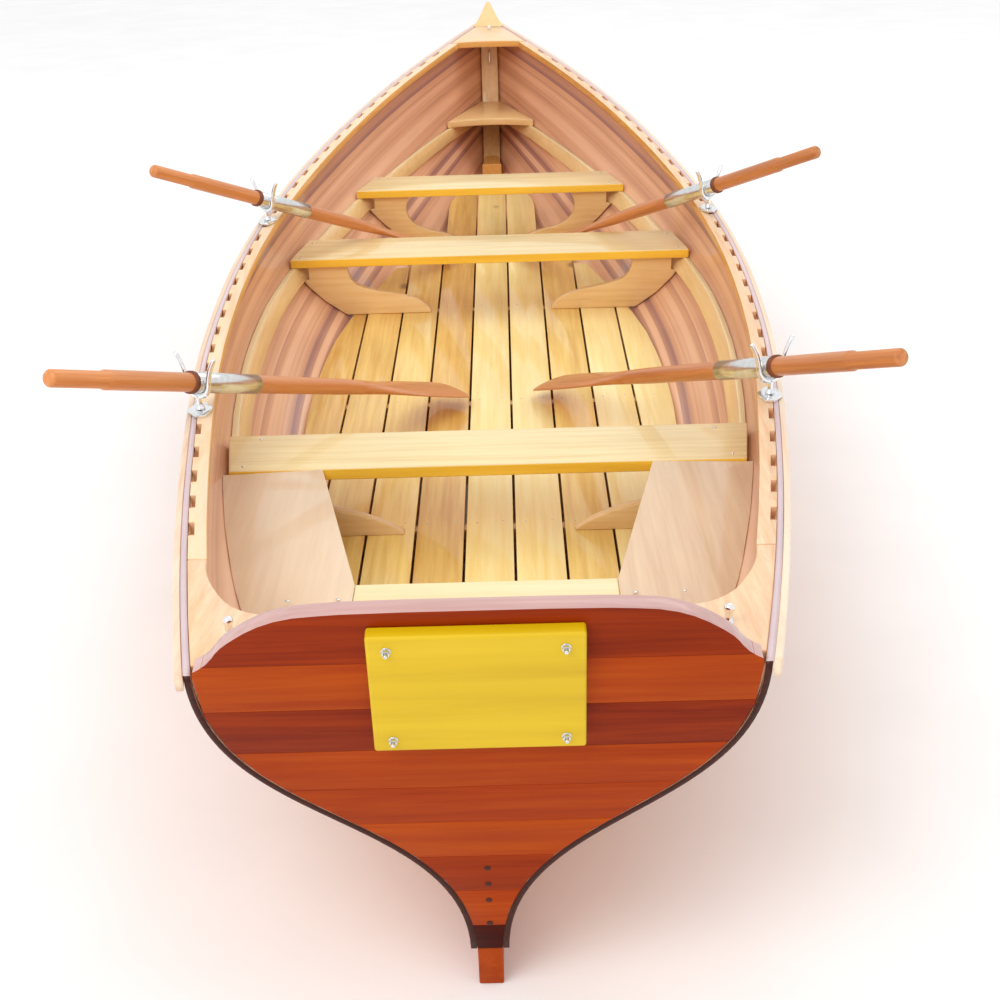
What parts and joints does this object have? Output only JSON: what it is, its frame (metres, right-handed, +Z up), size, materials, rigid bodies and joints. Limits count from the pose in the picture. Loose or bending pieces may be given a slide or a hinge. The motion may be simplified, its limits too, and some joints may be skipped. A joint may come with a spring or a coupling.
{
  "type": "whitehall rowboat",
  "caption": "Varnished cedar strip whitehall rowboat with wineglass transom, motor pad, thwarts, slatted floor, and shipped oars in horned oarlocks that swing and dip.",
  "frame": {"origin": "on the centre line amidships, at the height of the waterline", "axes": "+X to starboard, +Y forward to the bow, +Z up"},
  "size_m": [1.852, 5.259, 0.8176],
  "materials": {
    "planking": "varnished cedar strips",
    "outwale": "varnished pale rail",
    "inwale": "varnished ash",
    "knees": "varnished",
    "thwarts": "varnished spruce",
    "stern_seats": "varnished ash",
    "floor": "varnished pine with knots",
    "transom": "deep gloss varnish",
    "motor_pad": "bright gloss varnish",
    "oar": "gloss varnish",
    "bright_metal": "polished"
  },
  "bodies": {
    "hull": {"planking_port": "planking", "outwale_port": "outwale", "inwale_port": "inwale", "riser_port": "inwale", "side_seat_port": "stern_seats", "quarter_knee_port": "inwale", "post_port": "bright_metal", "knee_stern_port": "knees", "knee_mid_port": "knees", "knee_fore_port": "knees", "socket_aft_port": "bright_metal", "socket_fore_port": "bright_metal", "planking_starboard": "planking", "outwale_starboard": "outwale", "inwale_starboard": "inwale", "riser_starboard": "inwale", "side_seat_starboard": "stern_seats", "quarter_knee_starboard": "inwale", "post_starboard": "bright_metal", "knee_stern_starboard": "knees", "knee_mid_starboard": "knees", "knee_fore_starboard": "knees", "socket_aft_starboard": "bright_metal", "socket_fore_starboard": "bright_metal", "keel": "transom", "stem": "transom", "stem_head": "outwale", "keelson": "inwale", "inner_stem": "inwale", "transom": "transom", "motor_pad": "motor_pad", "breasthook": "inwale", "stern_thwart": "thwarts", "mid_thwart": "thwarts", "fore_thwart": "thwarts", "bow_seat": "thwarts", "aft_seat": "stern_seats", "floor_slat_1": "floor", "floor_slat_2": "floor", "floor_slat_3": "floor", "floor_slat_4": "floor", "floor_slat_5": "floor", "floor_slat_6": "floor", "floor_slat_7": "floor", "floor_slat_8": "floor", "floor_slat_9": "floor", "floor_timber_aft": "knees", "floor_timber_waist": "knees", "floor_timber_mid": "knees", "floor_timber_fore": "knees"},
    "lock_aft_port": {"oarlock_aft_port": "bright_metal"},
    "oar_aft_port": {"oar_aft_port": "oar"},
    "lock_fore_port": {"oarlock_fore_port": "bright_metal"},
    "oar_fore_port": {"oar_fore_port": "oar"},
    "lock_aft_starboard": {"oarlock_aft_starboard": "bright_metal"},
    "oar_aft_starboard": {"oar_aft_starboard": "oar"},
    "lock_fore_starboard": {"oarlock_fore_starboard": "bright_metal"},
    "oar_fore_starboard": {"oar_fore_starboard": "oar"}
  },
  "joints": [
    {"name": "swing_aft_port", "type": "hinge", "parent": "hull", "child": "lock_aft_port", "pos_m": [-0.60439, -1.363, 0.46828], "axis": [0, 0, 1], "range_deg": [-3, 9]},
    {"name": "dip_aft_port", "type": "hinge", "parent": "lock_aft_port", "child": "oar_aft_port", "pos_m": [-0.60439, -1.363, 0.46828], "axis": [0.866, -0.5, 0], "range_deg": [0, 24]},
    {"name": "swing_fore_port", "type": "hinge", "parent": "hull", "child": "lock_fore_port", "pos_m": [-0.66315, 0.138, 0.46146], "axis": [0, 0, 1], "range_deg": [-3, 5]},
    {"name": "dip_fore_port", "type": "hinge", "parent": "lock_fore_port", "child": "oar_fore_port", "pos_m": [-0.66315, 0.138, 0.46146], "axis": [0.788, -0.6157, 0], "range_deg": [0, 24]},
    {"name": "swing_aft_starboard", "type": "hinge", "parent": "hull", "child": "lock_aft_starboard", "pos_m": [0.60439, -1.363, 0.46828], "axis": [0, 0, -1], "range_deg": [-7, 5]},
    {"name": "dip_aft_starboard", "type": "hinge", "parent": "lock_aft_starboard", "child": "oar_aft_starboard", "pos_m": [0.60439, -1.363, 0.46828], "axis": [0.8988, 0.4384, 0], "range_deg": [0, 24]},
    {"name": "swing_fore_starboard", "type": "hinge", "parent": "hull", "child": "lock_fore_starboard", "pos_m": [0.66315, 0.138, 0.46146], "axis": [0, 0, -1], "range_deg": [-3, 5]},
    {"name": "dip_fore_starboard", "type": "hinge", "parent": "lock_fore_starboard", "child": "oar_fore_starboard", "pos_m": [0.66315, 0.138, 0.46146], "axis": [0.788, 0.6157, 0], "range_deg": [0, 24]}
  ]
}
